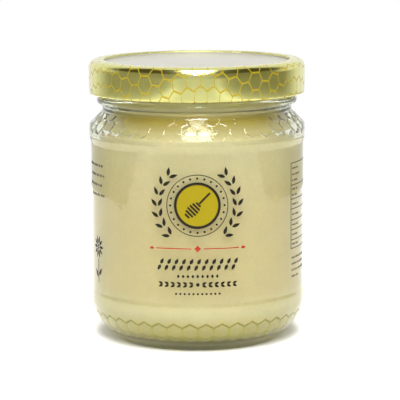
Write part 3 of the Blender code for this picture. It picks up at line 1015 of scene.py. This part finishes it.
def make_side_prints(settings, dark):
    """A ruled table on the right and a note with a flower on the left."""
    table = Decal("ruled_table", settings)
    width, top = 27.0, 55.6
    drops = (0.0, 6.7, 11.0, 14.0, 17.4, 20.4, 23.5, 26.1)
    for x in (0.0, width):
        table.bar(x, top - drops[-1] / 2, drops[-1] + 0.3, 0.3, 90.0)
    for drop in drops:
        table.bar(width / 2, top - drop, width - 0.2, 0.24)
    rows = ((1.6, (6, 3)), (3.5, (4, 5, 2)), (5.3, (2, 6)), (8.0, (5, 3)), (9.8, (3, 4)), (12.6, (7, 2)),
            (15.7, (4, 6)), (18.9, (6, 3)), (21.9, (3, 5)), (24.8, (5, 4)))
    for drop, words in rows:
        fine_row(table, 0.9, top - drop, words)
        fine_row(table, width - 4.4, top - drop, (3, 2))
    for i, words in enumerate(((5, 7, 3, 6), (8, 4, 6, 2), (3, 6, 5, 7), (6, 4))):
        fine_row(table, 0.6, 26.6 - 1.9 * i, words)
    table.finish(dark, "dark_ink", math.radians(60.0))

    note = Decal("side_note", settings)
    note_rows = ((-0.9, (6, 4, 7, 3, 3)), (0.0, (3, 8, 5, 4, 2)), (-1.5, (7, 3, 6, 2, 4)),
                 (0.0, (4, 6, 5, 6)))
    for i, (end, words) in enumerate(note_rows):
        wide = sum(MARK_STEP * word + WORD_GAP for word in words) - WORD_GAP
        fine_row(note, end - wide, 54.9 - 3.0 * i, words, 0.95)
    flower = (-5.2, 29.8)
    for i in range(10):
        note.leaf(*turned_point(*flower, (1.0, 0.0), 36.0 * i), 2.6, 0.95, 36.0 * i)
    note.band(*flower, 0.3, 0.75, sides=20)
    note.bar(flower[0], 22.4, 7.4, 0.35, 90.0)
    note.leaf(flower[0] + 0.4, 21.0, 3.2, 1.2, 48.0)
    note.leaf(flower[0] - 0.4, 20.4, 3.2, 1.2, 132.0)
    note.finish(dark, "dark_ink", math.radians(-58.6))


def make_floor(studio):
    """A white table top, round at the back, drawn out towards the camera, with painted shade making it grey
    in front.
    """
    half, reach = studio.floor_half_width, studio.floor_reach
    rim = [(x, y, 0.0) for x, y in arc((0.0, 0.0), (half, half), 0.0, 180.0, 60)]
    rim += [(-half, -reach, 0.0), (half, -reach, 0.0)]
    mesh = bpy.data.meshes.new("floor")
    mesh.from_pydata(rim, [], [tuple(range(len(rim)))])

    def build(finish):
        place = finish.axes()
        # Painted shade: the floor greys towards the camera, most in the middle.
        forward = (place.also("Y") * -1.0).smooth(0.10, 0.42)
        middle = 1.0 - abs(place).smooth(0.14, 0.31) * 0.85
        paper = finish.blend(finish.noise(3.0) * 0.3, studio.floor_colour, (1.0, 1.0, 1.0))
        return {"Base Color": finish.blend(forward * middle, paper, studio.floor_front_shade),
                "Roughness": finish.noise(40.0) * 0.1 + 0.75}
    # Painted light: the floor glows a little, which lightens the shadows on it.
    glow = {"IOR": 1.3, "Emission Color": (1.0, 1.0, 1.0), "Emission Strength": 0.12}
    mesh.materials.append(new_material("pale_floor", glow, build))
    link_piece("floor", mesh)


def make_world():
    """Soft studio light: a white surround, a dim ceiling and front, a softbox and a small front flash.

    The camera itself sees plain white.
    """
    world = bpy.data.worlds.new("studio")
    bpy.context.scene.world = world
    world.use_nodes = True
    world.node_tree.nodes.clear()
    finish = Finish(world.node_tree)
    way = finish.node("ShaderNodeTexCoord", None, None, output="Generated")

    def lamp(azimuth, elevation, inner, outer):
        """1 inside a cone round a direction; azimuth 0 is towards the camera."""
        a, e = math.radians(azimuth), math.radians(elevation)
        aim = (math.sin(a) * math.cos(e), -math.cos(a) * math.cos(e), math.sin(e))
        along = finish.vectors("DOT_PRODUCT", way, aim, output="Value")
        return along.smooth(math.cos(math.radians(outer)), math.cos(math.radians(inner)))

    left_wall, right_wall, back_wall = (0.31, 0.295, 0.21), (0.235, 0.22, 0.135), (0.92, 0.92, 0.91)
    middle_wall, low_wall = (0.56, 0.56, 0.53), (0.66, 0.66, 0.63)
    ceiling, overhead_panel = (0.08, 0.067, 0.024), (0.85, 0.84, 0.80)
    softbox_strength, flash_strength = 18.4, 90.0
    side = finish.axes(way)
    depth, rise = side.also("Y"), side.also("Z")
    front = finish.blend(side.smooth(-0.6, 0.6), left_wall, right_wall)
    surround = depth.smooth(0.20, 0.80).maximum(depth.smooth(-0.10, 0.45) * rise.smooth(-0.02, 0.08))
    walls = finish.blend(surround, front, back_wall)
    centre = (1.0 - abs(side).smooth(0.15, 0.5)) * (1.0 - depth.smooth(-0.4, 0.0))
    walls = finish.blend(centre, walls, middle_wall)
    dim = rise.smooth(0.22, 0.50) * (1.0 - depth.smooth(0.15, 0.65))
    room = finish.blend(dim, walls, ceiling)
    room = finish.blend((centre * 0.012 - rise).smooth(0.135, 0.168), room, low_wall)
    room = finish.blend(lamp(170.0, 76.0, 16.0, 24.0), room, overhead_panel)
    across = side.smooth(-0.19, -0.12) * (1.0 - side.smooth(0.15, 0.22))
    upward = rise.smooth(0.42, 0.52) * (1.0 - rise.smooth(0.955, 0.98))
    softbox = across * upward * (1.0 - depth.smooth(-0.1, 0.0))
    glow = softbox * softbox_strength + lamp(0.0, 15.0, 1.8, 2.4) * flash_strength
    lit = finish.blend(1.0, room, glow, "ADD")
    seen = finish.node("ShaderNodeLightPath", None, None, output="Is Camera Ray")
    sky = finish.node("ShaderNodeBackground", None, {"Color": finish.blend(seen, lit, (1.0, 1.0, 1.0))})
    finish.node("ShaderNodeOutputWorld", None, {"Surface": sky})


def make_camera(studio):
    """The camera at the photograph's place: in front, a little above, looking slightly down."""
    data = bpy.data.cameras.new("camera")
    data.sensor_fit = "HORIZONTAL"
    data.sensor_width = 36.0
    data.lens = studio.focal_length
    camera = bpy.data.objects.new("camera", data)
    bpy.context.scene.collection.objects.link(camera)
    pitch = studio.camera_pitch
    forward = Vector((0.0, math.cos(pitch), -math.sin(pitch)))
    aim = Vector((studio.aim_side, 0.0, studio.aim_height))
    tilt = Matrix.Rotation(math.pi / 2.0 - pitch, 4, "X")
    lean = Matrix.Rotation(-studio.camera_roll, 4, "Z")
    camera.matrix_world = Matrix.Translation(aim - forward * studio.camera_distance) @ tilt @ lean
    bpy.context.scene.camera = camera


class HoneyJarSettings(bpy.types.PropertyGroup):
    """Everything that a user may change."""
    glass: bpy.props.PointerProperty(type=GlassSettings)
    honey: bpy.props.PointerProperty(type=HoneySettings)
    lid: bpy.props.PointerProperty(type=LidSettings)
    ink: bpy.props.PointerProperty(type=PrintSettings)
    studio: bpy.props.PointerProperty(type=StudioSettings)


class HONEYJAR_OT_stage(bpy.types.Operator):
    """Make the camera, floor and studio light"""
    bl_idname = "honey_jar.stage"
    bl_label = "Make Stage"

    def execute(self, context):
        studio = context.scene.honey_jar.studio
        make_camera(studio)
        make_floor(studio)
        make_world()
        context.scene.view_settings.view_transform = "Standard"
        return {"FINISHED"}


class HONEYJAR_OT_glass(bpy.types.Operator):
    """Make the glass jar with its honeycomb relief"""
    bl_idname = "honey_jar.glass"
    bl_label = "Make Glass Jar"

    def execute(self, context):
        make_glass_jar(context.scene.honey_jar)
        return {"FINISHED"}


class HONEYJAR_OT_honey(bpy.types.Operator):
    """Make the honey in the jar"""
    bl_idname = "honey_jar.honey"
    bl_label = "Make Honey"

    def execute(self, context):
        make_honey(context.scene.honey_jar)
        return {"FINISHED"}


class HONEYJAR_OT_lid(bpy.types.Operator):
    """Make the twist-off lid"""
    bl_idname = "honey_jar.lid"
    bl_label = "Make Lid"

    def execute(self, context):
        make_lid(context.scene.honey_jar)
        return {"FINISHED"}


class HONEYJAR_OT_prints(bpy.types.Operator):
    """Make the prints on the glass"""
    bl_idname = "honey_jar.prints"
    bl_label = "Make Prints"

    def execute(self, context):
        settings = context.scene.honey_jar
        dark = ink_material("dark_ink", settings.ink.dark_ink, 0.3)
        make_medallion(settings, dark)
        make_front_rows(settings, dark)
        make_side_prints(settings, dark)
        return {"FINISHED"}


STEPS = (HONEYJAR_OT_stage, HONEYJAR_OT_glass, HONEYJAR_OT_honey, HONEYJAR_OT_lid, HONEYJAR_OT_prints)


class HONEYJAR_PT_panel(bpy.types.Panel):
    """Buttons for each step"""
    bl_idname = "HONEYJAR_PT_panel"
    bl_label = "Honey Jar"
    bl_space_type = "VIEW_3D"
    bl_region_type = "UI"
    bl_category = "Honey Jar"

    def draw(self, context):
        for step in STEPS:
            self.layout.operator(step.bl_idname)


CLASSES = (GlassSettings, HoneySettings, LidSettings, PrintSettings, StudioSettings, HoneyJarSettings,
           *STEPS, HONEYJAR_PT_panel)


def register():
    for item in CLASSES:
        bpy.utils.register_class(item)
    bpy.types.Scene.honey_jar = bpy.props.PointerProperty(type=HoneyJarSettings)


def unregister():
    del bpy.types.Scene.honey_jar
    for item in reversed(CLASSES):
        bpy.utils.unregister_class(item)


def main():
    register()
    bpy.ops.honey_jar.stage()
    bpy.ops.honey_jar.glass()
    bpy.ops.honey_jar.honey()
    bpy.ops.honey_jar.lid()
    bpy.ops.honey_jar.prints()


if __name__ == "__main__":
    main()
